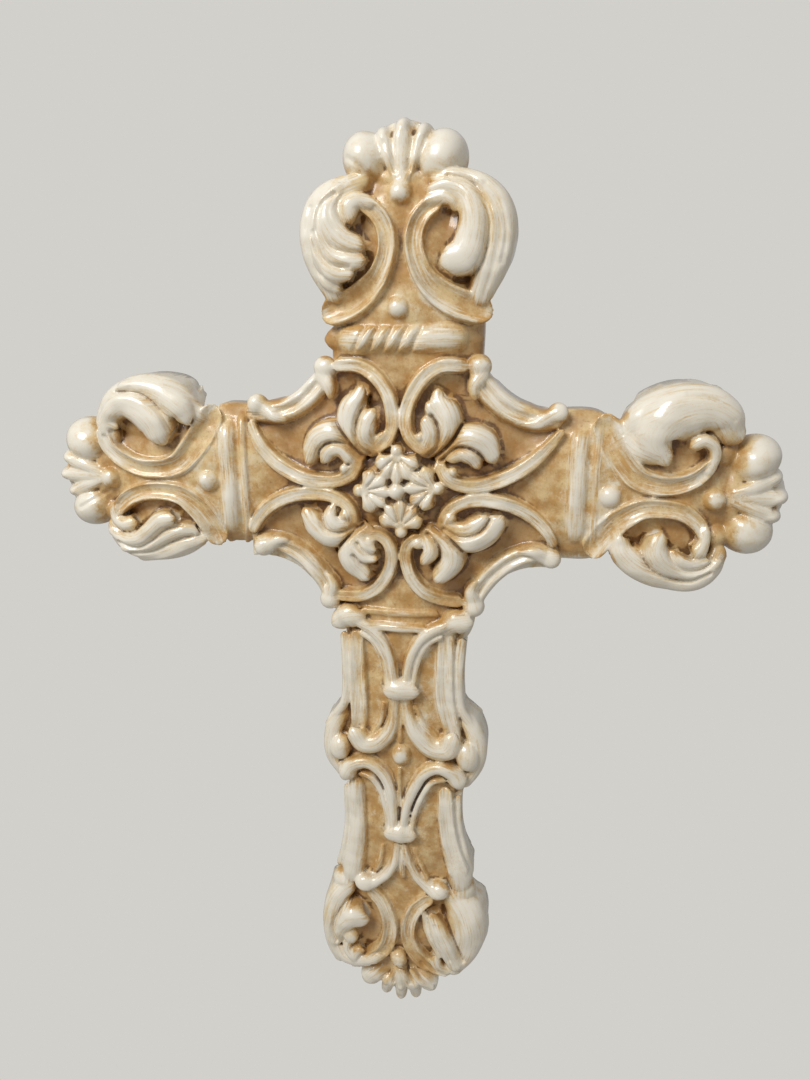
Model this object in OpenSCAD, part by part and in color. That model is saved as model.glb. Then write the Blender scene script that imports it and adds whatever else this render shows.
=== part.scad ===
// Ornate wall cross, cast in one piece, with a flat back and a hanging hole.
// It is drawn lying on its back, X across, Y up the cross and Z out of the wall,
// with 0,0 in the middle of the rosette. It is stood up at the end, so that +Z is
// up, the relief faces -Y and the origin is the mouth of the hanging hole.

/* [Overall size] */
// Distance from the middle to the tip of a side arm
arm_reach = 176; // [150:1:200]
// Distance from the middle to the upper tip
top_reach = 160; // [145:1:180]
// Distance from the middle to the lower tip
foot_reach = 297; // [270:1:330]

/* [Thickness] */
// Height of the ground along the middle of each arm
crown_h = 18; // [14:0.5:20]
// Radius of the barrel that the ground of each arm is rounded to
barrel_r = 92; // [80:1:120]
// Height of the ornament above the ground
relief_h = 9; // [5:0.5:11]

/* [Hanging hole] */
// Radius of the blind hole in the back
hole_r = 3; // [2:0.25:4]
// Depth of the hole
hole_depth = 12; // [8:0.5:13]
// Height of the hole above the middle of the cross
hole_y = 108; // [95:1:120]

/* [Hidden] */
ivory = [0.93, 0.88, 0.79];
// distance from the middle to the tip of an arm's end as it is drawn below
drawn_reach = 160;
// and to the lower tip
drawn_foot = 297;
// strokes start this high above the back, inside the ground
seat = 4;
// crest heights: on an edge, on the ground's slope and in the middle
low = crown_h - 2;
shell_h = crown_h - 6;
mid = crown_h + relief_h * 0.55;
high = crown_h + relief_h;

// ---- strokes ----------------------------------------------------------------
// A stroke's half width w and crest height z are [start, middle, end].
function along(v, t) =
    v[0] * (1 - t) * (1 - 2 * t) + 4 * v[1] * t * (1 - t) + v[2] * t * (2 * t - 1);

// An arc about c whose radius and angle run from r[0], a[0] to r[1], a[1].
function arc(c, r, a, n) = [
    for (k = [0 : n])
        let (t = k / n, d = a[0] + (a[1] - a[0]) * t, s = r[0] + (r[1] - r[0]) * t)
        [c.x + s * cos(d), c.y + s * sin(d)]
];

// A line from p to q that bows to its left by a given amount.
function bowed(p, q, bow, n) = [
    for (k = [0 : n])
        let (t = k / n, d = q - p, s = 4 * bow * t * (1 - t) / norm(d))
        p + d * t + [-d.y, d.x] * s
];

// Closes equal rings of points into one solid.
module skin(rings) {
    n = len(rings[0]);
    last = len(rings) - 1;
    polyhedron(
        points = [for (ring = rings) each ring],
        faces = concat(
            [[for (j = [n - 1 : -1 : 0]) j]],
            [for (i = [0 : last - 1], j = [0 : n - 1])
                let (a = i * n + j, b = i * n + (j + 1) % n)
                each [[a, b, a + n], [b, b + n, a + n]]],
            [[for (j = [0 : n - 1]) last * n + j]]));
}

// Sweeps a section along a path. Each point of the section is
// [share of the half width, drop below the crest as a share of the half width].
module stroke(path, section, w, z) {
    last = len(path) - 1;
    skin([for (i = [0 : last])
        let (d = path[min(i + 1, last)] - path[max(i - 1, 0)],
             side = [-d.y, d.x] / norm(d), half = along(w, i / last), top = along(z, i / last))
        [for (k = section)
            let (at = path[i] + side * k[0] * half)
            [at.x, at.y, k[1] < 0 ? seat : top - k[1] * half]]]);
}

// A rounded roll: a leaf's lobe, a reed or a petal.
module roll(path, w, z) {
    stroke(path, [[-1, -1], [-0.5, 0.1], [0.5, 0.1], [1, -1]], w, z);
}

// A hollowed ribbon: its right-hand rim is the higher one.
module ribbon(path, w, z) {
    stroke(path, [[-1, -1], [-0.9, 0], [0.1, 0.45], [0.8, 0.2], [1, -1]], w, z);
}

// A round-shouldered stud.
module bead(at, r, top) {
    translate(at)
        rotate_extrude($fn = 6)
            polygon([[0, seat], [r, seat], [r, top - 0.6 * r], [0.6 * r, top], [0, top]]);
}

// Draws its children and their mirror image across the Y axis.
module both_sides() {
    children();
    mirror([1, 0, 0]) children();
}

// ---- the ground ---------------------------------------------------------------
module end_outline() {
    $fn = 20;
    translate([-36, 54]) square([72, 46]);
    translate([-12, 100]) square([24, 32]);
    both_sides() translate([25.5, 111]) circle(r = 22);
}

module shell_outline() {
    $fn = 16;
    translate([-12, 126]) square([24, 20]);
    both_sides() {
        translate([17, 142]) circle(r = 9.5);
        translate([5, 150]) circle(r = 8);
    }
    translate([0, 152]) circle(r = 8);
}

module lower_outline() {
    $fn = 20;
    translate([-35.5, -72]) square([71, 32]);
    translate([-29.5, -250]) square([59, 200]);
    translate([-12, -275]) square([24, 40]);
    both_sides() {
        translate([22, -136]) circle(r = 20.5);
        translate([20, -209]) circle(r = 18.5);
        translate([24, -244]) circle(r = 22.5);
    }
}

module foot_outline() {
    $fn = 16;
    both_sides() translate([16, -280]) circle(r = 8.5);
    translate([0, -285]) circle(r = 12);
}

// A rectangle with a hollow at each corner.
module middle_outline() {
    difference() {
        square([144, 114], center = true);
        for (sx = [-1, 1], sy = [-1, 1])
            translate([66 * sx, 66 * sy]) circle(r = 31, $fn = 32);
    }
}

// Rounds what it holds to a barrel along the Y axis.
module barrelled() {
    intersection() {
        linear_extrude(crown_h) children();
        translate([0, 0, crown_h - barrel_r])
            rotate([90, 0, 0]) cylinder(r = barrel_r, h = 2 * drawn_foot, center = true, $fn = 32);
    }
}

// ---- the upper arm and the side arms ---------------------------------------------
// Each is drawn pointing up, and right and left are those of the drawing.
module neck_and_shell() {
    barrelled() end_outline();
    linear_extrude(shell_h) shell_outline();
    roll(bowed([-34, 64], [34, 64], 0, 2), [5, 6, 5], [low + 1, mid + 1, low + 1]);
    bead([0, 79.5], 4.5, mid + 2);
    bead([0, 127.5], 4.4, mid + 1);
    both_sides() roll(bowed([5, 131], [23, 147], 0, 3), [2, 9.5, 4], [low, mid, shell_h]);
    for (f = [-1, 0, 1])
        roll(bowed([2 * f, 132], [8.5 * f, 157 - abs(f)], 0, 3), [1.5, 4, 2],
             [crown_h, crown_h, shell_h]);
}

// The wide C-shaped ribbon and, outside it, a leaf.
module end_scroll(c, r, a) {
    ribbon(arc(c, r, a, 6), [5.4, 4.5, 3.2], [low, high - 2.5, mid + 1]);
}

module lobe(c, r, a, w) {
    roll(arc(c, r, a, 5), w, [low, high - 2, low]);
}

module finger(c, r, a, w) {
    roll(arc(c, r, a, 4), w, [mid, high + 1, high - 1]);
}

module upper_end() {
    neck_and_shell();
    both_sides() end_scroll([24.5, 102], [20, 21.5], [110, 287]);
    // left leaf: a lobe that ends in two fingers
    finger([-18.5, 119.5], [6, 4.5], [30, 250], [3, 4, 3]);
    lobe([-20, 108], [22, 24], [105, 240], [4, 7, 4.5]);
    finger([-20, 115], [12.5, 10.7], [151, 281], [4.5, 6, 4]);
    finger([-21, 110], [15, 13.7], [180, 280], [4.5, 6, 4]);
    // right leaf: a lobe round a hook
    finger([17.5, 119.5], [5, 5], [140, -12], [3, 3, 2.4]);
    lobe([22, 110], [20, 25], [76, -60], [4, 6.5, 5]);
    finger([22, 112], [15, 10.5], [72, -95], [3, 7, 6]);
}

module left_end() {
    neck_and_shell();
    both_sides() end_scroll([33, 102], [27, 28.5], [142, 275]);
    // upper leaf
    finger([18, 117.5], [6, 6], [130, 10], [2.5, 4, 3]);
    finger([25, 113], [14.5, 13], [152, -100], [3.5, 7, 6]);
    lobe([15, 112], [27, 34], [20, -64], [5, 7, 4]);
    // lower leaf
    finger([-17.5, 121], [5.5, 5.5], [10, 218], [3, 3.2, 3.4]);
    lobe([-18, 109], [21, 27], [115, 250], [3, 5.5, 3]);
    finger([-12, 116], [18.6, 20.5], [144, 252], [3, 4.6, 4.8]);
}

module right_end() {
    neck_and_shell();
    both_sides() end_scroll([33, 102], [27, 28.5], [142, 275]);
    // upper leaf: one broad lobe with a pointed tip
    finger([-19.5, 118], [6, 5.5], [25, 215], [3.2, 3, 3.4]);
    finger([-24, 110], [18.4, 13], [103, 296], [5, 10.5, 3]);
    // lower leaf
    finger([19, 116], [6.5, 6.5], [135, 40], [3, 3.2, 3.4]);
    lobe([18, 108], [22, 25], [66, -86], [3.5, 5.5, 3]);
    finger([23, 111], [14, 11.5], [78, -114], [3, 5.2, 5.2]);
}

// ---- the middle -------------------------------------------------------------------
module corner_rail(from, to, bow) {
    roll(bowed(from, to, bow, 4), [4, 4.8, 4], [low, low + 2, low]);
    bead(from, 4.8, low + 1);
    bead(to, 4.6, low + 1);
}

// One quarter holds two C-shaped ribbons that curl round two leaves.
module quarter() {
    stroke_z = [mid - 2, mid + 1, high];
    ribbon(arc([25, 35], [20.3, 20.8], [88, 230], 5), [2.4, 3.2, 3.2], stroke_z);
    mirror([1, 0, 0])
        ribbon(arc([-38, 32], [31, 27.5], [188, 313], 5), [2.4, 3.2, 3.2], stroke_z);
    finger([8, 33], [14, 14], [-75, 55], [3, 5.5, 2.6]);
    finger([31, 11.5], [11.5, 11.5], [175, 12], [3, 5, 3]);
}

// Four fans of three petals round a bead.
module rosette() {
    bead([0, 0], 3.6, high + 3);
    for (turn = [0 : 90 : 270]) rotate(turn) {
        bead([0, 19], 2.5, high - 1);
        roll(bowed([0, 17], [0, 5], 0, 2), [1.4, 3.6, 3], [mid, high, high - 1]);
        rotate(45) roll(bowed([0, 21], [0, 9], 0, 2), [1.4, 3.4, 2.6], [mid, high, mid]);
    }
}

module middle() {
    linear_extrude(crown_h - 2) middle_outline();
    translate([0, 0, low - 2]) cylinder(h = 7, r1 = 54, r2 = 20, $fn = 16);
    both_sides() {
        corner_rail([34.3, 54.6], [68, 36.3], -10);
        corner_rail([68, -31.8], [34.5, -56.5], -10);
        quarter();
        mirror([0, 1, 0]) quarter();
    }
    rosette();
}

// ---- the lower arm ------------------------------------------------------------------
// Two reeds curl in from the top corners, meet under a tie and part again.
module panel(top, tie, bottom, spread) {
    both_sides() {
        roll(bowed([spread, top], [2.6, tie + 1], 7, 4), [3.6, 3.2, 2.4], [mid, mid, mid]);
        roll(bowed([2.6, tie - 1], [spread, bottom], 6, 4), [2.4, 3.4, 5], [mid, mid - 2, mid]);
        bead([spread + 2, bottom + 3], 5, mid + 1);
    }
    roll(bowed([-8.5, tie], [8.5, tie], 0, 2), [3.5, 4.8, 3.5], [low + 3, mid + 2, low + 3]);
}

module lower_arm() {
    barrelled() lower_outline();
    linear_extrude(shell_h) foot_outline();
    panel(-70, -100, -133, 17);
    panel(-146, -182, -216, 17);
    both_sides() {
        // cap under the middle
        roll(bowed([35, -67], [14, -65], -2, 3), [3.5, 6.5, 3], [low - 1, mid, low + 2]);
        // side rails of the two panels
        roll(bowed([23, -74], [22.5, -120], 1.5, 3), [2.8, 3.3, 2.8], [low + 1, low + 2, low + 1]);
        roll(bowed([23, -158], [29, -214], -3, 3), [3.4, 4, 5], [low + 1, low + 2, low + 1]);
        // the swelling below each rail
        roll(bowed([31, -118], [33, -153], 8, 4), [2.2, 3, 2.2], [low - 3, low - 2, low - 4]);
        bead([33.5, -138], 5.4, low + 2);
    }
    roll(bowed([-16, -61], [16, -61], 0, 2), [2, 2.4, 2], [low + 2, low + 4, low + 2]);
    bead([0, -136], 5.2, mid);
}

module lower_end() {
    both_sides() {
        ribbon(arc([23, -245], [22, 21], [114, 262], 6), [2, 2.4, 3], [mid - 2, mid - 1, low]);
        roll(bowed([6, -271], [18, -285], 0, 3), [2, 6.5, 3.5], [low, low + 2, shell_h]);
    }
    for (f = [-1, 0, 1])
        roll(bowed([2 * f, -272], [7.5 * f, -294 + 2 * abs(f)], 0, 3), [1.5, 3.4, 2],
             [low, low, shell_h]);
    bead([0, -264], 4.5, mid);
    // left leaf
    lobe([-22, -246], [19, 20], [115, 285], [4, 6.5, 3.5]);
    finger([-26, -252], [11, 6], [165, 40], [3.5, 6, 5]);
    // right leaf
    lobe([22, -246], [18, 20], [62, -105], [5, 7, 4]);
    finger([34, -240], [17, 19], [150, 252], [3, 5.5, 4.5]);
}

// ---- the whole casting -------------------------------------------------------------
// The side arms stand further out than the upper arm, and the foot can be longer.
module relief() {
    upper_end();
    for (turn = [90, -90])
        rotate(turn) translate([0, arm_reach - drawn_reach]) {
            if (turn > 0) left_end();
            else right_end();
        }
    middle();
    translate([0, drawn_foot - foot_reach]) {
        lower_arm();
        lower_end();
    }
}

module cross() {
    color(ivory) difference() {
        translate([0, 0, -hole_y]) rotate([90, 0, 0])
            resize([2 * arm_reach, top_reach + foot_reach, 0]) relief();
        rotate([90, 0, 0]) cylinder(r = hole_r, h = hole_depth, $fn = 48);
    }
}

cross();
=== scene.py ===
# %% [markdown]
# # An antiqued wall cross
#
# The real cross is one casting: a modeller built the relief up in clay, a mould was
# taken from it, and resin was poured into the mould. The casting was sprayed ivory,
# glazed brown, wiped while the glaze was wet, and varnished. The scene follows the same
# steps: build up the relief, cast it as one skin, soften it, paint it, light it.

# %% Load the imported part
import math

import bpy
import numpy as np
from mathutils import Matrix, Vector, kdtree


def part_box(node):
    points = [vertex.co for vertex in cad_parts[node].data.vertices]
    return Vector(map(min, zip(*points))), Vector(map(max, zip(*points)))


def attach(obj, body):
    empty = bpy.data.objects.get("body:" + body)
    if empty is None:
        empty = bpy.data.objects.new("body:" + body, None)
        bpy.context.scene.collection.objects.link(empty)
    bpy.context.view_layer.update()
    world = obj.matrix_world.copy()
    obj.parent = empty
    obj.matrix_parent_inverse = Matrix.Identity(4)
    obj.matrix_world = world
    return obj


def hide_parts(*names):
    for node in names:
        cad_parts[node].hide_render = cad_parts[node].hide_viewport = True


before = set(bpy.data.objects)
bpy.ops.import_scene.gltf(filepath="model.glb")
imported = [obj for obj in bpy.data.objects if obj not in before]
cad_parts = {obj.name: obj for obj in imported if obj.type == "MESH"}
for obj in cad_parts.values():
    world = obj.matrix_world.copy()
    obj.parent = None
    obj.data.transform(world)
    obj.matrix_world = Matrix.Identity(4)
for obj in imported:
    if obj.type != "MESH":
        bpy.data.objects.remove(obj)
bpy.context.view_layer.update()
lowest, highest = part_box("cross")
print("the casting is", [round(1000 * (b - a)) for a, b in zip(lowest, highest)], "mm")

# %% [markdown]
# The relief is modelled as a modeller does it: lying on its back on a board, in
# millimetres, with X across, Y up the cross, Z towards the eye and 0, 0 under the bead
# in the middle. At the end it is stood up and scaled to metres.

# %% The board's measures
MM = 0.001
TOP_REACH = 160.0  # from the middle to the upper tip
MIDDLE_Z = highest[2] - TOP_REACH * MM
SKIRT = 5.0  # a stroke's section reaches down by this many half widths
VOXEL = 0.55  # mm
TRIANGLES = 196000
rng = np.random.default_rng(7)
print("middle of the cross at z =", round(MIDDLE_Z, 4), "m")

# %% [markdown]
# A modeller lays the relief on in strokes: rolls, ribbons and leaves of clay. They could
# be boxes pushed about in edit mode, but a stroke bends, swells, rises and tapers all at
# once, so each is a curve with a section swept along it. Each point of a stroke gives
# its place, the height of its crest and its half width. A section is drawn from -1 to 1
# across, with its crest at 0, and a skirt carries it down into the ground.

# %% Sections
def half_round(drop, n=12):
    """A dome from -1 to 1, its crest at 0 and its sides at -drop."""
    angles = np.linspace(math.pi, 0, n)
    return [(math.cos(a), drop * (math.sin(a) - 1)) for a in angles]


SECTIONS = {
    # a rounded roll of clay
    "roll": half_round(0.8),
    # a leaf's lobe: flatter, with two soft flutes
    "leaf": [(-1, -0.75), (-0.93, -0.42), (-0.8, -0.22), (-0.6, -0.07), (-0.4, -0.03),
             (-0.25, -0.09), (-0.1, -0.02), (0.1, 0), (0.3, -0.03), (0.42, -0.1),
             (0.55, -0.08), (0.75, -0.22), (0.9, -0.42), (1, -0.75)],
    # the ground of an arm: a low barrel
    "barrel": half_round(0.3),
    # a wide ribbon: a high rim on its right, a hollow, and a low rim on its left
    "ribbon": [(-1, -0.8), (-0.97, -0.4), (-0.87, -0.24), (-0.74, -0.32), (-0.5, -0.54),
               (-0.1, -0.6), (0.3, -0.5), (0.55, -0.24), (0.7, -0.04), (0.82, 0),
               (0.93, -0.12), (1, -0.55)],
    # a narrow band: a shallow hollow between two soft edges
    "band": [(-1, -1), (-0.96, -0.3), (-0.8, -0.02), (-0.5, -0.1), (0, -0.2), (0.45, -0.1),
             (0.78, 0), (0.95, -0.25), (1, -1)],
    # a rail with two ridges and a groove between them
    "rail": [(-1, -0.9), (-0.9, -0.45), (-0.65, -0.12), (-0.42, -0.08), (-0.18, -0.3),
             (0.05, -0.34), (0.25, -0.12), (0.5, 0), (0.75, -0.14), (0.93, -0.5), (1, -0.9)],
}


def curve_object(name, dimensions):
    curve = bpy.data.curves.new(name, "CURVE")
    curve.dimensions = dimensions
    piece = bpy.data.objects.new(name, curve)
    bpy.context.collection.objects.link(piece)
    return piece


def section_object(name):
    """A closed section with a skirt that reaches down into the ground."""
    outline = SECTIONS[name] + [(1, -SKIRT), (-1, -SKIRT)]
    piece = curve_object("section_" + name, "2D")
    spline = piece.data.splines.new("POLY")
    spline.points.add(len(outline) - 1)
    for point, (u, v) in zip(spline.points, outline):
        point.co = (u, v, 0, 1)
    spline.use_cyclic_u = True
    return piece


def stroke_object(name):
    piece = curve_object("clay_" + name, "3D")
    piece.data.twist_mode = "Z_UP"
    piece.data.bevel_mode = "OBJECT"
    piece.data.bevel_object = section_object(name)
    piece.data.use_fill_caps = True
    return piece


clay = {name: stroke_object(name) for name in SECTIONS}
print("sections:", ", ".join(SECTIONS))

# %% [markdown]
# A few points are enough for a stroke: a smooth path is drawn through them, and its two
# ends are rounded off as a thumb would leave them. The path is also remembered, because
# the glaze is later wiped along the strokes and leaves its brush marks that way.

# %% Strokes
STEP = 1.2  # mm between the rings of a stroke


def smooth_path(points):
    """A smooth path through the points, with its ends rounded off."""
    p = np.array([points[0]] + list(points) + [points[-1]], float)
    path = []
    for a, b, c, d in zip(p, p[1:], p[2:], p[3:]):
        steps = max(2, int(np.linalg.norm(c[:2] - b[:2]) / STEP))
        for t in np.arange(steps) / steps:
            path.append(0.5 * (2 * b + (c - a) * t + (2 * a - 5 * b + 4 * c - d) * t**2
                               + (3 * b - a - 3 * c + d) * t**3))
    return rounded(rounded(path + [p[-1]])[::-1])[::-1]


def rounded(path, turns=(25, 50, 70, 85)):
    """Adds a round end after the last point: it narrows and its crest falls."""
    end, before = path[-1], path[-2]
    ahead = (end - before)[:2] / max(np.linalg.norm((end - before)[:2]), 1e-6)
    for turn in np.radians(turns):
        x, y = end[:2] + ahead * end[3] * math.sin(turn)
        drop = 0.7 * end[3] * (1 - math.cos(turn))
        path = path + [np.array([x, y, end[2] - drop, end[3] * math.cos(turn)])]
    return path


brushed = []  # x, y, z, direction x, y, length so far, half width, number of the stroke


def remember(path):
    """Keeps a stroke's line, since the glaze is wiped along it."""
    p = np.array(path)
    ahead = np.gradient(p[:, :2], axis=0)
    ahead /= np.maximum(np.linalg.norm(ahead, axis=1), 1e-6)[:, None]
    length = np.concatenate([[0], np.cumsum(np.linalg.norm(np.diff(p[:, :2], axis=0), axis=1))])
    number = brushed[-1][-1] + 1 if brushed else 0
    for row, (dx, dy), far in zip(p, ahead, length):
        brushed.append((*row[:3], dx, dy, far, max(row[3], 0.8), number))


def stroke(section, points, flipped=False):
    """One stroke. Each point is (x, y, height of the crest, half width)."""
    if flipped:
        points = points[::-1]
    path = smooth_path(points)
    if section != "barrel":
        remember(path)
    spline = clay[section].data.splines.new("POLY")
    spline.points.add(len(path) - 1)
    for point, (x, y, z, w) in zip(spline.points, path):
        point.co = (x, y, z, 1)
        point.radius = w


# %% [markdown]
# Beads, knobs and the fat round lobes are pellets of clay pressed onto the ground. A
# sphere, scaled in each direction and turned, is the nearest thing to one.

# %% Pebbles
pebbles = []


def drop_selection():
    for piece in bpy.context.selected_objects:
        piece.select_set(False)


def pebble(x, y, rx, ry, top, turn=0.0, depth=None):
    """A rounded pellet of clay pressed onto the ground."""
    depth = depth or 0.9 * min(rx, ry)
    drop_selection()
    bpy.ops.mesh.primitive_uv_sphere_add(segments=32, ring_count=20, location=(x, y, top - depth))
    piece = bpy.context.object
    piece.scale = (rx, ry, depth)
    piece.rotation_euler.z = math.radians(turn)
    pebbles.append(piece)


# %% [markdown]
# The ground is what the ornament lies on. The middle is a plate with a round bite out
# of each corner, the arms are low barrels, and each end is a pair of domes.

# %% The middle plate
PLATE = (143, 113, 16)  # mm: wide, high, thick
BITE_RADIUS = 31
BITE_FROM_MIDDLE = 66  # mm, both across and up


def apply(piece, kind, **settings):
    """Adds a modifier to the active piece and applies it at once."""
    modifier = piece.modifiers.new(kind.lower(), kind)
    for key, value in settings.items():
        setattr(modifier, key, value)
    bpy.ops.object.modifier_apply(modifier=modifier.name)


def drill(piece, x, y, radius, depth, sides, solver):
    """Takes a round hole out of a piece, from the board upwards."""
    drop_selection()
    bpy.ops.mesh.primitive_cylinder_add(vertices=sides, radius=radius, depth=2 * depth,
                                        location=(x, y, 0))
    bit = bpy.context.object
    drop_selection()
    piece.select_set(True)
    bpy.context.view_layer.objects.active = piece
    apply(piece, "BOOLEAN", operation="DIFFERENCE", solver=solver, object=bit)
    bpy.data.objects.remove(bit)


drop_selection()
bpy.ops.mesh.primitive_cube_add(size=1, location=(0, 0, PLATE[2] / 2))
plate = bpy.context.object
plate.scale = PLATE
for sx in (-1, 1):
    for sy in (-1, 1):
        drill(plate, BITE_FROM_MIDDLE * sx, BITE_FROM_MIDDLE * sy, BITE_RADIUS, 30, 96, "EXACT")
pebbles.append(plate)
pebble(0, 0, 62, 50, 21, depth=8)
print("middle plate:", [round(side) for side in plate.dimensions], "mm")

# %% [markdown]
# The arms are low barrels, wider where the ornament swells, and so is the long lower arm.
# Under each pair of scrolls the ground rises in a dome, so that the pockets between the
# leaves stay shallow enough for a mould to let go.

# %% The arms and their ends
stroke("barrel", [(1.7, 49.9, 20, 34), (2.9, 74, 21.5, 33.5), (2.9, 84, 21.5, 32),
                  (2.9, 100.1, 21, 28), (1.9, 122.1, 21, 24), (0.6, 130.5, 19, 20)])
stroke("barrel", [(-66.7, 3.6, 20, 33), (-85.2, 3.9, 21.5, 33), (-100.2, 4.9, 21.5, 28),
                  (-125.5, 3.8, 21, 24), (-139.7, 2.4, 19, 19)])
stroke("barrel", [(66.1, 2.6, 20, 34), (85, 2.9, 21.5, 34), (100.1, 2.9, 21.5, 28),
                  (125.2, 2.8, 21, 24), (138.7, 2.4, 19, 19)])
stroke("barrel", [(-0.3, -48.7, 20, 34), (2.1, -65.8, 20.5, 34), (2, -76, 20, 29),
                  (1.9, -95.2, 19.5, 28), (1.9, -108.3, 19.5, 29.5), (2.4, -118.3, 19.5, 34),
                  (2.9, -129.3, 19.5, 38.5), (2.9, -138.3, 19.5, 39.5), (2.9, -148.3, 19.5, 36),
                  (2.9, -157.3, 19.5, 30), (2.9, -175.4, 19.5, 29), (2.9, -190.4, 19.5, 31),
                  (3.9, -204.4, 19.5, 34), (3.9, -213.8, 19, 33), (3.9, -222.9, 19, 34),
                  (3.9, -240.9, 19, 37), (2.7, -255.9, 18, 34), (1.6, -266.9, 17, 24)])
for x, y, rx, ry, turn in ((-22.4, 107.2, 19, 24, 12), (26.9, 108.2, 19, 24, -12),
                           (-118.8, 26.8, 25, 17, -8), (-117.8, -17.5, 25, 17, 8),
                           (122.3, 25.8, 26, 18, 8), (120.3, -18.5, 25, 18, -8)):
    pebble(x, y, rx, ry, 20.3, turn, depth=17)
for x, y in ((-139.8, 19.8), (-139.8, -15.4), (140.4, 19.8), (140.4, -16.4), (-16.3, 128.2),
             (16.8, 128.2)):
    pebble(x, y, 9, 9, 20.5, depth=17)
print("ground:", len(pebbles), "pebbles")

# %% [markdown]
# Each arm ends in a shell: three flutes that fan out from a bead, with a fat round lobe
# on either side. It is modelled once, pointing up, and turned onto each end.

# %% Shells
def turned(points, turn, reach, side=0.0):
    """Turns points drawn for the upper arm onto another arm."""
    c, s = math.cos(math.radians(turn)), math.sin(math.radians(turn))
    out = []
    for x, y, *rest in points:
        x, y = x + side, y + reach
        out.append((c * x - s * y, s * x + c * y, *rest))
    return out


def shell(turn, reach, side):
    for s, rx, ry in ((-1, 10.6, 12.4), (1, 11.2, 12.6)):
        x, y = turned([(15.4 * s, 138.8)], turn, reach, side)[0]
        pebble(x, y, rx, ry, 23.5, turn - 30 * s, depth=14.5)
    for lean, long in ((-1, 152.5), (0, 155.5), (1, 153.5)):
        flute = [(1.7 * lean, 131, 21.5, 2.2), (4.6 * lean, 139, 22, 3.4),
                 (6.8 * lean, long - 9, 21, 4)]
        stroke("roll", turned(flute, turn, reach, side))
        x, y = turned([(7.8 * lean, long - 7)], turn, reach, side)[0]
        pebble(x, y, 4.7, 7.2, 21, turn - 13 * lean, depth=15)
    x, y = turned([(0, 142)], turn, reach, side)[0]
    pebble(x, y, 15.5, 13.4, 19, turn, depth=15)
    x, y = turned([(0, 131)], turn, reach, side)[0]
    pebble(x, y, 21, 8, 20.5, turn, depth=18)


shell(0, 0, 0.8)
shell(90, 13, 2.0)
shell(-90, 15, -1.5)

print("shells done, strokes so far:", int(brushed[-1][-1]) + 1)

# %% [markdown]
# A moulding crosses each arm where its end begins: a twisted roll on the upper arm, and
# a broad roll with a fine one beside it on the left and right. A bead sits on either
# side of each pair of scrolls.

# %% Necks and beads
stroke("roll", [(-28.9, 66.3, 16, 6.3), (-24.8, 66.4, 20.5, 6.5), (-13.7, 66.3, 23.3, 6.6),
                (3.3, 66.8, 24, 6.8), (19.1, 67.3, 23.3, 6.6), (27.9, 67.6, 20.5, 6.5),
                (30.6, 67.5, 16, 6.3)])
for k in range(4):
    x = -14.7 + 6.2 * k
    stroke("roll", [(x - 2.6, 63, 23.2, 1.8), (x, 66.1, 25, 2.9), (x + 2.6, 70, 23.6, 1.8)])
for x, lean, w in ((-80.1, -0.38, 4.6), (-72.4, -0.38, 1.7), (79.7, 0.08, 4.9), (87.4, 0.08, 1.6)):
    top = 23.3 if w > 4 else 22
    # it leans outward where it dives, by so much for each mm that it drops
    neck = [(0, 35.6 - w, 8), (0, 31.7 - w, 3.5), (-0.3, 19.1, 0.8), (0, 4.3, 0),
            (0.3, -11.9, 0.8), (0.3, w - 24.6, 3.5), (0.3, w - 30.4, 8)]
    stroke("roll", [(x + dx + lean * drop, y, top - drop, w) for dx, y, drop in neck])
for x, y, r, top in ((-0.3, 79.8, 4.8, 25), (0.6, 125.4, 5, 24.5), (-139.4, 1.4, 4.8, 24),
                     (-89.8, 1.6, 5.2, 25), (93.6, 0.7, 5, 25), (137.5, 0.6, 5, 24)):
    pebble(x, y, r, r, top)

# %% [markdown]
# Two wide ribbons curl away from each neck. Their outer rim stands high, which throws
# the shadow line that makes them read as scrolls.

# %% Scrolls of the ends
# upper arm
stroke("ribbon", [(-29.1, 78, 21.5, 6.4), (-21.3, 81, 23, 6.6), (-14.3, 85.9, 24, 6),
                  (-9, 91.9, 24.8, 4.8), (-5.8, 98.8, 25, 4.2), (-4.7, 105.7, 25, 4),
                  (-5.8, 112.2, 25, 3.8), (-9.5, 117.6, 25, 3.6), (-13.9, 120.6, 25, 3.2)])
stroke("roll", [(-11.9, 121.2, 25, 2.8), (-17.2, 121.9, 26, 3.6), (-20.9, 119.2, 27, 4.4),
                (-20.5, 116.4, 26.8, 4.2)])
stroke("ribbon", [(34.5, 79, 21.5, 6.4), (25.6, 81.5, 23, 6.6), (17.4, 85.9, 24, 6),
                  (11.3, 91.9, 24.8, 4.8), (7.9, 98.8, 25, 4.3), (6.4, 105.7, 25, 4.1),
                  (7.4, 112.2, 25, 3.9), (10.9, 117.6, 25, 3.6),
                  (15.3, 120.6, 25, 3.2)], flipped=True)
stroke("roll", [(12.8, 121.9, 24.8, 2.6), (18.4, 123, 25.5, 3), (22.3, 121, 25.5, 2.6),
                (23.2, 118.7, 24.5, 1.8)])
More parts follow.
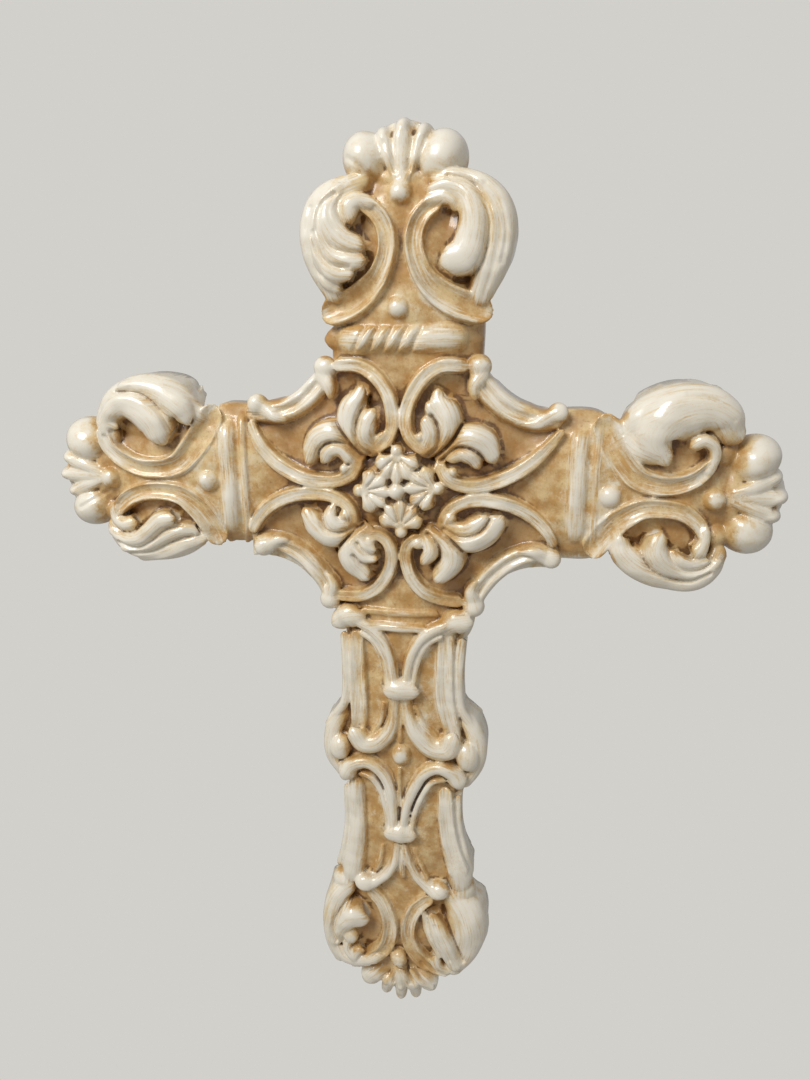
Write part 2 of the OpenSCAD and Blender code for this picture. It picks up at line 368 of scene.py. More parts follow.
# left arm
stroke("ribbon", [(-87.7, 31.4, 21.5, 6.2), (-91.6, 24.1, 23, 6.6), (-97.1, 16.5, 24, 6.3),
                  (-103.7, 9.8, 24.8, 5.4), (-112.6, 7.2, 25, 4.8), (-122.5, 7.6, 25, 4.6),
                  (-130.4, 10.8, 25, 4.4), (-137.1, 16.4, 24.5, 4), (-139.9, 23.3, 24, 3.6)])
stroke("roll", [(-138.9, 24.3, 24, 2.6), (-136.1, 27.8, 24.5, 2.6), (-132.9, 26.3, 24, 2)])
pebble(-135.7, 20.6, 3, 4.6, 22.5, -20)
stroke("ribbon", [(-87.7, -25.1, 21.5, 5.6), (-91.1, -17.7, 23, 6), (-96.1, -11, 24, 5.6),
                  (-102.7, -5.6, 24.8, 4.8), (-111.6, -3.7, 25, 4.4), (-121.5, -4.3, 25, 4.2),
                  (-129.5, -7.6, 24.8, 4), (-135.6, -12.9, 24.5, 3.6)], flipped=True)
stroke("roll", [(-137.4, -13.5, 24, 2.8), (-136.8, -18.2, 25, 3.2), (-132.8, -20.2, 26, 3.6),
                (-128.9, -19.7, 26, 3.6)])
# right arm
stroke("ribbon", [(90.1, 30.9, 21.5, 6.2), (93.4, 23.2, 23, 6.4), (98.5, 15.6, 24, 6.2),
                  (105.1, 9, 24.8, 5.4), (113.5, 6.6, 25, 4.8), (121.9, 7.2, 25, 4.4),
                  (129.3, 10.6, 25, 3.8), (134.1, 15.5, 24.8, 3)], flipped=True)
stroke("roll", [(133.7, 13.5, 24.6, 2), (135.6, 19, 25, 2.3), (134.4, 24, 25.6, 2.6),
                (130.1, 26.4, 26, 3), (126.7, 24.5, 25.5, 3)])
stroke("ribbon", [(88.6, -23.1, 21.5, 5.8), (93.4, -15.5, 23, 6), (99.5, -9.1, 24.2, 5.4),
                  (107.5, -4.3, 25, 4.6), (116.4, -3.7, 25, 4.2), (124.9, -5.1, 25, 3.9),
                  (131.4, -9.8, 24.8, 3.4), (134.2, -14.3, 24.5, 3)])
stroke("roll", [(134.7, -13.3, 24.6, 2.4), (134.5, -18, 25.5, 2.8), (132.9, -21.7, 26.5, 3.8)])

# %% [markdown]
# Leaves fill the scrolls. Each is a few lobes that start at the outer edge, roll over
# the top and end in blunt fingers. They were modelled freehand, so no two match.

# %% Leaves of the ends
# upper arm, left: a fluted leaf with three fingers
stroke("roll", [(-16, 129.5, 22, 4), (-23.6, 126.2, 24, 6.5), (-30.6, 120.5, 25.5, 8.8),
                (-33.5, 112.1, 26, 9.5), (-33.1, 102.2, 25.5, 9), (-31, 93.4, 24, 7.5),
                (-28.5, 86, 22, 5)])
stroke("leaf", [(-25.3, 126.1, 25, 3), (-29.3, 120.3, 27, 4.5), (-28.4, 112.8, 28.5, 5.2),
                (-23.4, 106.8, 29, 5), (-17.3, 104.5, 28, 4.2)])
stroke("leaf", [(-32.7, 117.4, 27, 3), (-32, 108.4, 28, 4.4), (-27, 101.5, 28.5, 4.8),
                (-20.6, 98.6, 28.5, 4.5), (-16.4, 98.6, 27.5, 3.6)])
stroke("leaf", [(-34.8, 106.6, 26.5, 3), (-32.1, 98.6, 27.5, 4.2), (-26.7, 93.7, 27.5, 4),
                (-21, 93.3, 26.5, 3)])
stroke("roll", [(-33.5, 95.9, 24, 3), (-30.3, 89.9, 25, 3), (-26.5, 87.4, 24, 2.2)])
# upper arm, right: a comma-shaped lobe in a wide outer leaf
stroke("leaf", [(17, 130, 22, 4.5), (26.7, 127.7, 24, 7), (35.2, 122, 25.5, 9),
                (39.2, 113.6, 26, 9.8), (39.1, 103.7, 25.5, 9.2), (37.1, 93.9, 24, 7.8),
                (35, 86, 21.5, 5.5)])
stroke("roll", [(13.2, 125.7, 24, 2.4), (20.3, 127.3, 25.5, 3.6), (27.4, 124.3, 27, 5),
                (30.9, 116.8, 28, 6), (30.9, 108.4, 28.5, 7), (28.5, 101, 29, 7.8),
                (24, 99, 28.5, 7.2)])
# left arm, upper: two fat lobes
stroke("roll", [(-139.4, 28.1, 23, 5.5), (-132.4, 36.3, 25, 8), (-120.7, 40.5, 26.5, 9.5),
                (-108.1, 40.4, 26, 8.8), (-99.4, 35.8, 24.5, 7), (-94.8, 32.6, 22.5, 5)])
stroke("roll", [(-138.6, 27.8, 24.5, 4), (-134, 33.5, 26.5, 5.6), (-127.3, 36.7, 28, 7.4),
                (-119.4, 34.8, 29, 8.8), (-113.4, 29.5, 29.3, 9), (-111.4, 25.5, 28.5, 8)])
stroke("roll", [(-126.2, 43.8, 25.5, 4), (-114.6, 43, 27, 6), (-105.8, 39.1, 27.8, 6.8),
                (-100, 34.7, 27.5, 6.4), (-98.5, 32.1, 26.5, 5)])
# left arm, lower: an S-shaped ridge over two flatter ones
stroke("roll", [(-139.5, -23, 22, 4.5), (-134.7, -28.5, 23.5, 6), (-126, -31.9, 24, 7),
                (-115, -31.4, 24, 7.5), (-104.3, -29, 23.5, 6.8), (-96.5, -26.5, 22, 4.6)])
stroke("roll", [(-140.4, -24.7, 23, 2.4), (-133.9, -27.9, 25, 3.2), (-126.1, -27.4, 26.5, 4),
                (-119.2, -22.9, 27.5, 4.6), (-113.6, -17.9, 28, 4.6), (-108.9, -16.5, 27.5, 3.8)])
stroke("leaf", [(-133.9, -32.4, 24, 2.6), (-123.2, -30.7, 25.5, 3.4), (-113.6, -25.8, 26, 4),
                (-105.4, -22.3, 25.5, 3.8), (-98.6, -22.9, 24, 3)])
stroke("leaf", [(-126.3, -37.2, 21.5, 3), (-114.3, -34, 23.5, 4), (-103.6, -29.4, 24, 4),
                (-95.8, -27.4, 22.5, 3)])
# right arm, upper: one great smooth lobe
stroke("roll", [(141.2, 29.1, 23, 6), (133.8, 37.8, 25, 9), (122.7, 39.9, 26, 10.2),
                (111.9, 36.9, 25.5, 10), (103.7, 32.2, 24, 8.4), (99.5, 29, 22, 6)])
stroke("roll", [(143.5, 29, 22, 5), (139.1, 35.4, 25.5, 8), (130.6, 39.1, 28, 10.3),
                (121, 37.8, 29.5, 11.5), (113.2, 32.4, 29.5, 11), (110.9, 25.5, 28.5, 8.6),
                (114.5, 18.8, 26.6, 4.4)])
stroke("roll", [(97.1, 29.9, 21.5, 5.5), (101.8, 24.7, 23.2, 7), (107, 22, 25.2, 6.6),
                (112.7, 20, 26.4, 4.6)])
# right arm, lower: three lobes, one inside the other
stroke("roll", [(99.4, -20.2, 24.8, 4.4), (101.4, -24.7, 26.3, 6), (109.8, -30.8, 26, 6.8),
                (120.4, -34.3, 25, 6.8), (131.9, -34.7, 24.5, 6.6), (138.6, -30, 23.5, 6),
                (141.9, -24.4, 20.5, 5)])
stroke("roll", [(115, -17.5, 27.5, 4.6), (114.3, -22.1, 28.5, 5.8), (118.3, -27.7, 28, 5.2),
                (126, -31.5, 26.8, 4), (134.7, -31.9, 25.5, 3.4), (141.1, -27.1, 23.5, 2.8)])
stroke("roll", [(122, -23.3, 26, 2.4), (124.4, -26, 27, 2.9), (129.5, -27.9, 26.6, 2.8),
                (136.3, -26.6, 25, 2.2)])

# %% [markdown]
# In the middle, eight narrow bands curl in pairs towards the rosette. Each holds a fat
# two-lobed leaf. A grooved rail with a knob at either end edges each hollow corner.

# %% Bands of the middle
stroke("band", [(-27, 55.3, 22, 2.8), (-17.8, 55.1, 23, 3.1), (-9.9, 50.6, 24, 3.2),
                (-4.7, 43.3, 24.8, 3.1), (-2.7, 35.9, 25.3, 3), (-2.6, 29, 25.8, 2.9),
                (-4.7, 23.4, 26, 2.9), (-9.3, 20.1, 26, 2.8)], flipped=True)
stroke("band", [(28, 55.5, 22, 2.8), (19.1, 55.6, 23, 3.1), (11.5, 51.1, 24, 3.2),
                (6.4, 43.8, 24.8, 3.1), (3.7, 36.4, 25.3, 3), (3.8, 29, 25.8, 2.9),
                (6.7, 22.9, 26, 2.8), (11.5, 19.5, 26, 2.6)])
stroke("band", [(-68.3, 28.4, 21, 2), (-64.8, 20.5, 22, 3), (-58.2, 12.5, 23, 3.4),
                (-48.9, 6.7, 24, 3.5), (-38.8, 3.9, 24.8, 3.3), (-28.7, 4, 25.5, 3),
                (-21.4, 7.1, 26, 2.9), (-18, 12.7, 26, 2.7)])
stroke("band", [(71.6, 28.4, 21, 1.5), (65.5, 20.5, 22, 2.6), (57.5, 13, 23, 3.2),
                (48, 7.4, 24, 3.4), (38.1, 4, 24.8, 3.3), (29.2, 3.6, 25.5, 3),
                (22.4, 6.8, 26, 2.9), (18.9, 12.7, 26, 2.7)], flipped=True)
stroke("band", [(-69.9, -21.3, 21, 2.4), (-65.5, -14, 22, 3), (-58.2, -7.6, 23, 3.3),
                (-48.4, -3.5, 24, 3.3), (-38.8, -2.3, 24.8, 3.2), (-29.7, -3.2, 25.5, 3),
                (-22.9, -7, 26, 2.9), (-20.3, -13, 26, 2.7), (-21.7, -16.6, 25.5, 2.2)],
                flipped=True)
stroke("band", [(70.6, -22.3, 21, 2.2), (66, -15, 22, 3), (58.5, -8.6, 23, 3.3),
                (49.5, -4.4, 24, 3.3), (40.1, -2.7, 24.8, 3.2), (31.7, -3.5, 25.5, 3),
                (25.1, -6.6, 26, 2.9), (21.2, -11.5, 26, 2.6), (20.6, -15.6, 25.5, 2.2)])
stroke("band", [(-27.7, -52.2, 21, 2.8), (-17.9, -51.3, 22.5, 3), (-9.7, -46.8, 23.5, 3.1),
                (-4.6, -39.2, 24.5, 3), (-2.8, -31.1, 25, 2.9), (-4, -24.3, 25.5, 2.8),
                (-8.8, -20.4, 26, 2.7), (-13.2, -20.9, 26, 2.4)])
stroke("band", [(28.4, -52.4, 21, 2.8), (19, -51.1, 22.5, 3), (11.2, -46.8, 23.5, 3.1),
                (5.8, -39.5, 24.5, 3), (3.7, -31.1, 25, 2.9), (5, -24.5, 25.5, 2.8),
                (9, -20.9, 26, 2.4)], flipped=True)

# %% [markdown]
# The leaves of the middle are commas of clay: a fat outer lobe, a smaller one curled
# inside it, and a little round eye where the band ends. They were pressed on one by one,
# so each is drawn by its own points.

# %% Leaves of the middle
LEAVES = [
    # above, left
    [(-11.3, 18.9, 25.5, 4), (-16.9, 21.7, 27.5, 5.6), (-20.6, 27.9, 28.6, 6.4),
     (-20.6, 35.7, 28.3, 6.4), (-17.8, 41.5, 27, 5.2), (-16.3, 44.8, 25.5, 3)],
    [(-11.7, 20.6, 26, 3.8), (-14.1, 25.9, 28, 4.6), (-13.1, 31.8, 28.2, 4.6),
     (-11.3, 34.9, 27, 3.2)],
    [(-8.2, 23.5, 26.3, 2.2), (-6.3, 25.6, 26.3, 2)],
    # left, above
    [(-17.7, 16.7, 26, 4.2), (-21.8, 21.9, 27.5, 5.4), (-27.9, 25.4, 28.6, 6.2),
     (-34.4, 23.9, 28.3, 6.2), (-38.3, 18.4, 27.3, 5.6), (-40.1, 14.2, 26, 3.4)],
    [(-32.7, 14.9, 27, 3.4), (-30.2, 18.6, 28.2, 4), (-25.6, 19, 28.2, 3.8),
     (-22.3, 15.2, 27.3, 3)],
    # above, right
    [(13, 19, 26, 4), (19, 22.1, 27.5, 5.4), (22.4, 28.4, 28.6, 6.2), (21.4, 35.7, 28.3, 6.2),
     (18, 41.1, 27, 4.8), (17.7, 43.9, 25.5, 2.8)],
    [(13.5, 21.2, 26.3, 3.6), (15.2, 26.9, 28, 4.2), (13.4, 31.2, 27.8, 3.8)],
    [(18.6, 33.7, 27.8, 3.2), (15.2, 37.9, 27.8, 3.8)],
    # right, above
    [(19.4, 17.7, 26, 4.2), (24.9, 22.8, 27.5, 5.4), (31.9, 25.2, 28.6, 6.2),
     (38.3, 22.8, 28.3, 6.2), (41.4, 18.1, 27, 4.6)],
    [(24.4, 16.9, 27, 3.4), (28.9, 18.8, 28.2, 4), (33.3, 16.8, 28, 4), (35.4, 14.1, 26.7, 3)],
    # left, below
    [(-19.2, -17.7, 26, 4.2), (-25.2, -21, 27.5, 5.6), (-32.3, -20.7, 28.6, 6.2),
     (-38, -16.4, 28, 6), (-41.6, -11.7, 26.5, 4)],
    [(-23.9, -16.7, 27, 3.2), (-29, -15.8, 28.2, 4), (-31, -11.8, 28, 3.6),
     (-29.9, -8.6, 26.7, 2.6)],
    # below, left
    [(-14.7, -18.2, 26, 4.2), (-19.8, -21.1, 27.5, 5.6), (-22, -27.6, 28.6, 6.4),
     (-20.2, -34.6, 28, 6), (-15.9, -39.5, 26.5, 4.3)],
    [(-18.8, -21.9, 27.6, 3), (-15.3, -25.5, 28.2, 3), (-11.4, -26.8, 27, 2.5)],
    [(-19.7, -27.2, 28, 3), (-15.2, -30.6, 28.3, 3), (-10.9, -31.4, 27, 2.5)],
    # below, right
    [(14, -18.7, 26, 4.2), (20.8, -20.5, 27.5, 5.6), (25.1, -25.8, 28.6, 6.4), (24.7, -32.5, 28, 6),
     (20.3, -38.3, 27, 4.8)],
    [(15.1, -21.8, 27.2, 3.3), (16.2, -26.6, 28.2, 3.9), (13.1, -31.1, 27, 3.1)],
    # right, below
    [(20.9, -17.5, 26, 4.2), (26.9, -20.7, 27.5, 5.4), (34.4, -20.8, 28.6, 6.1),
     (40.8, -17.4, 28, 5.9), (45.1, -12.6, 26.5, 4.8)],
    [(25.4, -15.7, 26.8, 3.2), (31.4, -16.1, 28.2, 4), (36.3, -13.2, 28, 4.1),
     (38.8, -10.9, 27, 3.1)],
]
for leaf in LEAVES:
    stroke("roll", leaf)
EYES = [(-23.9, 10, 2.4), (10.1, 25.2, 2), (24.9, 10, 2.4), (-23.7, -11.5, 3.1),
        (-13, -24, 2.9), (9.6, -23.6, 2.8), (24.2, -11.2, 3)]
for x, y, r in EYES:
    pebble(x, y, r, r, 27)

# %% [markdown]
# The rosette is four small shells around a bead. One shell, five lobes that spread from
# a bead at its outer end, is described once and turned to the four sides; the little
# differences in where each sits keep it from looking stamped.

# %% Rosette
pebble(-0.5, -0.3, 17, 17, 25.2, depth=6)
pebble(0.2, 0.8, 3.8, 3.8, 30)
MOTIFS = ((0, 0.5, 0.1), (90, -1.1, 0.5), (180, -0.5, -2), (-90, 0.1, -2.5))  # turn, reach, side
for turn, reach, side in MOTIFS:
    for lean, long, fat in ((-66, 11.2, 3.9), (-32, 12.4, 3.5), (0, 13, 3.4), (32, 12.4, 3.5),
                            (66, 11.2, 3.9)):
        c, s = math.sin(math.radians(lean)), math.cos(math.radians(lean))
        lobe = [(away * c, 16.2 - away * s, top, w)
                for away, top, w in ((1.5, 27.5, 1.4), (0.5 * long, 29, 0.8 * fat),
                                     (long - fat, 29, fat))]
        stroke("roll", turned(lobe, turn, reach, side))
    x, y = turned([(0, 18.4)], turn, reach, side)[0]
    pebble(x, y, 3, 3, 28)

# %% [markdown]
# Grooved rails edge the four hollow corners of the middle plate. Each ends in a knob, and
# a small hook runs back from the knob into the field.

# %% Corner rails
RAILS = [
    [(-67.7, 33.3, 20, 4), (-60.3, 33.9, 21, 5.2), (-52.7, 34.9, 21.5, 5.4),
     (-44.6, 39.2, 21.5, 5.4), (-37.8, 45.7, 21, 5.2), (-33, 52.9, 20, 4)],
    [(33.9, 53.4, 20, 4), (37, 47.4, 21, 5.2), (43, 41, 21.5, 5.4), (51, 35.7, 21.5, 5.4),
     (60, 32.9, 21, 5.2), (68.6, 32.8, 20, 4)],
    [(-33.1, -53.9, 19.5, 4), (-35.9, -45.5, 20.5, 5), (-41.8, -37.6, 21, 5), (-49.3, -31.3, 21, 5),
     (-58, -27.4, 20.5, 4.8), (-66.9, -27.7, 19.5, 4)],
    [(70.1, -27.7, 19.5, 4), (61, -27.9, 20.5, 4.8), (52.5, -31.3, 21, 5), (45, -37.3, 21, 5),
     (38.9, -45, 20.5, 5), (34.9, -53.9, 19.5, 4)],
]
for rail in RAILS:
    stroke("rail", rail)
HOOKS = [
    [(-34.5, 51, 22, 4), (-31.4, 46, 22.5, 3.2), (-30.6, 41.5, 21.5, 1.6)],
    [(36, 52, 22, 4), (33, 47, 22.5, 3), (33.5, 42, 21.5, 1.6)],
    [(-62, 35.5, 22, 4), (-56.8, 32.1, 22.5, 2.8), (-52.2, 30.9, 21.5, 1.4)],
    [(66, 34.5, 22, 4), (61, 31.6, 22.5, 2.8), (56, 31.1, 21.5, 1.4)],
    [(-62, -29, 22, 3.6), (-57.8, -25.9, 22.5, 2.6), (-53.2, -25.6, 21.5, 1.4)],
    [(67, -29, 22, 3.6), (62, -26.4, 22.5, 2.6), (57, -26.6, 21.5, 1.4)],
    [(-33, -51.5, 22, 3.8), (-31.4, -46.8, 22.5, 2.8), (-33.1, -42.2, 21.5, 1.4)],
    [(35, -51.5, 22, 3.8), (34, -46.8, 22.5, 2.8), (36, -42.2, 21.5, 1.4)],
]
for hook in HOOKS:
    stroke("roll", hook)
KNOBS = [(-33.4, 54, 5.3), (-65.3, 37.1, 5), (35, 55.5, 5.4), (69.5, 36.1, 4.6),
         (-65.3, -29.8, 4.8), (-33.4, -54.8, 5), (70, -29.8, 4.6), (35.5, -54.8, 5.2)]
for x, y, r in KNOBS:
    pebble(x, y, r, r, 22.5)

# %% [markdown]
# The lower arm has two panels. In each, a pair of reeds comes in from the top corners,
# is bound by a tie and parts again, between grooved side rails.

# %% Lower arm
for x in (-25.8, 25.8):
    stroke("roll", [(x - 2.5, -65.2, 22, 5.6), (x + 1, -62.9, 24, 6.4), (x + 5, -62.4, 24, 5.6)])
stroke("roll", [(-16.7, -59, 21.5, 1.7), (0.3, -59.5, 22, 1.8), (18.1, -59, 21.5, 1.7)])
stroke("roll", [(-14.4, -66.6, 23, 1.8), (0.5, -66.6, 23.5, 2), (12.4, -66.6, 23, 1.8)])
# first panel
for s, shift in ((-1, 0.6), (1, 1.6)):
    stroke("roll", [(19.8 * s + shift, -64.6, 23.5, 2.6), (12.9 * s + shift, -68.3, 24, 2.6),
                    (7.4 * s + shift, -74.8, 24, 2.4), (4 * s + shift, -84.1, 24, 2.1),
                    (2.6 * s + shift, -96.3, 23.5, 1.9)])
    stroke("roll", [(18.9 * s + shift, -70.2, 22, 1.4), (12.9 * s + shift, -73.9, 22.5, 1.6),
                    (8.9 * s + shift, -80.9, 22.5, 1.5), (6.9 * s + shift, -88.8, 22.5, 1.4),
                    (6 * s + shift, -96.8, 22.5, 1.3)])
stroke("roll", [(-2.2, -98.6, 26, 5.4), (2, -98.5, 26.5, 5.5), (6, -98.6, 26, 5.4)])
stroke("roll", [(-1.5, -103.4, 23, 2.2), (-2.2, -115.1, 23.5, 2.8), (-5.3, -123.7, 24, 3.8),
                (-11.2, -129.3, 24.5, 4.9), (-17.6, -129.6, 24.5, 5.2), (-21.2, -124.6, 25, 4.8)])
stroke("roll", [(3.4, -103.4, 23, 2.4), (5.8, -115.1, 23.5, 3.4), (10.3, -123.7, 24, 4.9),
                (17, -129.8, 24.5, 6), (24.4, -129.3, 25, 6.3), (26.4, -124.9, 25, 5.6)])
stroke("roll", [(-7.3, -107.5, 21, 1), (-8.8, -117.4, 21, 1.2), (-12.8, -124.4, 21, 1.2)])
stroke("roll", [(8.6, -107.5, 21, 1), (13.1, -117.4, 21, 1.2), (19.1, -123.4, 21, 1.2)])
stroke("roll", [(0.8, -107.2, 21.5, 0.9), (1.2, -127.1, 21.5, 1.4)])
pebble(1.6, -134.9, 5, 6, 24)
for x, side in ((-26.8, -1), (30.3, 1)):
    stroke("roll", [(x, -73.3, 19.2, 2.4), (x - 1.0 * side, -90.1, 19.7, 2.4),
                    (x, -107.3, 19.5, 2.4), (x + 4.5 * side, -115.8, 18.5, 2.2),
                    (x + 10 * side, -123.7, 17, 1.7)])
stroke("band", [(-20.4, -72.8, 20.5, 3.6), (-20.3, -89.5, 21, 4.2), (-19.8, -105.5, 21, 4.6),
                (-19.9, -117.7, 20.5, 4.2), (-21.1, -125.3, 19.5, 3.6)])
stroke("band", [(23, -71.8, 20.5, 4), (22.6, -87.5, 21, 4.6), (23.1, -103.5, 21, 4.9),
                (26, -117.7, 20.5, 4.4), (27.5, -125.3, 19.5, 4)])
# the swelling between the panels
stroke("roll", [(-27.2, -112.9, 14.5, 3.4), (-29.6, -116.4, 17.5, 4), (-32.7, -121.6, 19, 4.4),
                (-34.6, -131.3, 19.5, 4.2), (-33.5, -141.6, 19, 4), (-29.5, -149.3, 18, 3.4)])
pebble(-29.8, -134.2, 5.4, 7, 23, -10)
stroke("roll", [(28.6, -111.2, 14, 3.4), (32.9, -115.4, 17.5, 4.2), (37, -121.6, 19, 4.6),
                (39.6, -130.3, 19.5, 4.6), (38.3, -140.6, 19, 4.4), (33.4, -150.3, 18, 3.6)])
pebble(34.7, -134.1, 6, 8, 24, 10)
# second panel
for s, shift in ((-1, 0.6), (1, 3.6)):
    stroke("roll", [(26.7 * s + shift, -146.9, 24, 5.2), (24.2 * s + shift, -143, 24, 4),
                    (16.8 * s + shift, -140.3, 24, 3.2), (9.7 * s + shift, -144, 24, 3),
                    (4.8 * s + shift, -152.9, 24, 2.7), (2.8 * s + shift * 0.5, -164.2, 24, 2.3),
                    (2 * s + shift * 0.3, -177.4, 23.5, 2)])
    stroke("roll", [(19.9 * s + shift, -147.5, 21.5, 1.4), (13.9 * s + shift, -148.9, 22.5, 1.6),
                    (9.3 * s + shift, -156.3, 22.5, 1.6), (6.6 * s + shift * 0.7, -166.3, 22.5,
                                                           1.4),
                                                           (5.4 * s + shift * 0.5, -177.2, 22.5,
                                                            1.3)])
stroke("roll", [(0.8, -142.7, 22, 1.2), (1.2, -164, 21.5, 0.9)])
stroke("roll", [(-2.3, -179.5, 25.5, 5.2), (1.8, -179.5, 26.5, 5.6), (5.4, -179.5, 25.5, 5.2)])
stroke("roll", [(-0.6, -187.1, 22.5, 1.8), (-1.4, -197, 22.5, 2.1), (-4.8, -204.9, 23, 2.3),
                (-9.4, -209.3, 23.3, 2.6), (-13.7, -211.7, 24, 3.4)])
pebble(-17.2, -211.9, 5.6, 5, 25.2)
pebble(21.5, -212.8, 5.8, 5.2, 25.2)
stroke("roll", [(3.4, -187.1, 22.5, 1.8), (6.3, -198, 22.5, 2.1), (10.7, -206.1, 23, 2.4),
                (14.9, -210.1, 23.5, 3), (18.4, -212.2, 24, 3.6)])
stroke("roll", [(1.9, -191.2, 21, 1.3), (2.6, -206.8, 21.5, 1.6)])
stroke("roll", [(8.6, -189.6, 20.5, 1), (12.1, -198.2, 21, 1.3), (15.6, -206.2, 21, 1.2)])
stroke("roll", [(-7.9, -189.6, 20.5, 1), (-9.3, -198.2, 21, 1.3), (-12.3, -205.2, 21, 1.2)])
stroke("roll", [(-27.1, -157, 18.5, 1.5), (-26.9, -176.9, 18.8, 1.6), (-28.8, -192.9, 18.8, 1.8),
                (-31.5, -204.6, 18, 2)])
stroke("roll", [(-21.7, -153.7, 20.5, 4), (-21, -171.1, 21.3, 4.3), (-21.4, -188.6, 21.8, 5),
                (-23.5, -201.2, 22.3, 6.2), (-24.7, -209.3, 21.5, 5.6)])
stroke("roll", [(30.7, -158, 18.5, 1.5), (31.5, -175.9, 18.8, 1.6), (34.9, -190.9, 18.8, 1.9),
                (37.7, -202.6, 18, 2)])
stroke("band", [(24.1, -155.5, 20.8, 3.8), (25.1, -171.9, 21.5, 4.4), (27.9, -187.5, 22, 5),
                (31.6, -199.2, 22.3, 6)])
stroke("roll", [(30.1, -194.8, 21.5, 5.2), (32.4, -202.2, 22.3, 6.6), (32.6, -208.8, 21.5, 6)])

# %% [markdown]
# The lower end repeats the scrolls of the arms, hanging down: two ribbons, a leaf curled
# on the left, a broad plain one on the right, and a small fan of flutes at the tip.

# %% The lower end
stroke("ribbon", [(-13.5, -217.4, 22.5, 3.2), (-8.1, -223.8, 22.8, 3.6), (-4.7, -233.1, 23, 3.8),
                  (-4.1, -242.5, 23, 4), (-6.3, -251.5, 23, 4.4), (-11.5, -258.7, 22.5, 4.8),
                  (-17.6, -263.2, 22, 4.4), (-24.8, -266.2, 21, 3.4)])
stroke("ribbon", [(16.3, -218.9, 22.5, 3.2), (10.1, -225.4, 22.8, 3.6), (6.6, -234.1, 23, 3.8),
                  (5.8, -243, 23, 4), (8.2, -251.5, 23, 4.4), (13.3, -258.7, 22.5, 4.6),
                  (19.2, -263.2, 22, 4.2), (26.1, -265.7, 21, 3.2)], flipped=True)
pebble(-22.5, -246.5, 19.5, 24, 17.5, -8, depth=15)
pebble(26.8, -244.4, 21.5, 26, 17.5, 8, depth=15)
stroke("roll", [(-26.7, -217.7, 21.5, 4.6), (-31.6, -222.7, 23.5, 6.4), (-35, -232.2, 24, 5.6),
                (-36.6, -242.1, 23.5, 4.2), (-35.7, -252.9, 22.5, 3.8), (-32.3, -263.2, 21, 3.6)])
stroke("roll", [(-33.7, -251, 23.2, 3.6), (-30.3, -241.4, 25, 5.8), (-25, -233.8, 26.8, 7.4),
                (-21, -233.4, 26.8, 7)])
pebble(-25.2, -246.4, 4.2, 4.8, 25.5)
stroke("roll", [(-26.7, -249.7, 23.5, 2.2), (-27.6, -254.9, 23.8, 2.4), (-24.2, -259.3, 23.8, 2.8)])
stroke("roll", [(-33, -256.1, 22, 2.4), (-29.9, -261.8, 22.5, 3), (-23.3, -263.6, 23, 3.4),
                (-15.3, -261.5, 23.6, 4), (-10, -258.8, 23, 3.2)])
stroke("roll", [(-23.7, -261.3, 23.5, 2.4), (-22.1, -256.3, 24, 2.8), (-19.7, -255.1, 23.6, 2.4)])
pebble(24.1, -252.3, 5.5, 7.5, 21, depth=14)
for x, r in ((-29, 7), (33, 8)):
    pebble(x, -215.2, r, r, 21)
stroke("roll", [(29.6, -218.8, 22, 7.2), (34.2, -225.4, 24.6, 10.6), (37, -236.8, 25.3, 10.8),
                (35.2, -249.9, 24, 8.6), (30.6, -262.2, 21.5, 5.4)])
stroke("leaf", [(18.9, -228.6, 24, 3), (22, -235.6, 26, 4.6), (26.5, -245.2, 26.8, 5.4),
                (30.8, -257.3, 24.5, 4.6)])
stroke("roll", [(14.2, -226.6, 22, 1.2), (15.5, -236.2, 23, 1.6), (19.3, -245.1, 23.5, 1.8),
                (22.8, -253.1, 23.5, 1.6)])
stroke("roll", [(26.7, -264.2, 22, 2), (22.6, -261.1, 23.5, 2.8), (20.7, -256.1, 24, 3.2)])
pebble(0.6, -259.6, 4.8, 5.4, 24)
for s, shift in ((-1, 0), (1, 1)):
    stroke("roll", [(8 * s + shift, -270.7, 18, 3.4), (13 * s + shift, -273.7, 20, 6.4),
                    (15.5 * s + shift, -277, 19, 6.6)])
stroke("roll", [(7.1, -266.7, 20.5, 1.2), (12.3, -272.4, 22.3, 1.6), (19, -277.7, 20.5, 1.6)])
for lean, tip in ((-1, -282.7), (0, -285.2), (1, -283.2)):
    stroke("roll", [(1 + 1.6 * lean, -268.7, 19.5, 1.5), (1.4 + 4.4 * lean, -276.7, 19.5, 2.5),
                    (1.2 + 7.4 * lean, tip - 1.1, 17, 3.2), (0.9 + 8.3 * lean, tip - 6.2, 14, 3.2)])
pebble(0, -281.2, 17, 11, 13, depth=12)
for lean, tip in ((-1, -284.7), (0, -287.2), (1, -285.2)):
    pebble(1.6 + 8 * lean, tip + 6.9, 4.3, 6.4, 19.5, 9 * lean, depth=14)

print("strokes:", int(brushed[-1][-1]) + 1, " pebbles:", len(pebbles))

# %% [markdown]
# The strokes and pebbles now overlap like pressed clay. A cast is one skin, so they
# are joined, cut off flat at the back, and given one skin by a voxel remesh.

# %% Cast the relief as one skin
drop_selection()
for piece in clay.values():
    piece.select_set(True)
bpy.context.view_layer.objects.active = clay["roll"]
bpy.ops.object.convert(target="MESH")
for piece in pebbles:
    piece.select_set(True)
bpy.ops.object.transform_apply(location=True, rotation=True, scale=True)
bpy.ops.object.join()
cast = bpy.context.object
cast.name = "cast_cross"
bpy.ops.object.mode_set(mode="EDIT")
bpy.ops.mesh.select_all(action="SELECT")
bpy.ops.mesh.remove_doubles(threshold=0.001)
bpy.ops.object.mode_set(mode="OBJECT")
apply(cast, "REMESH", mode="VOXEL", voxel_size=VOXEL, adaptivity=0.0)
print("skin:", len(cast.data.polygons), "faces")

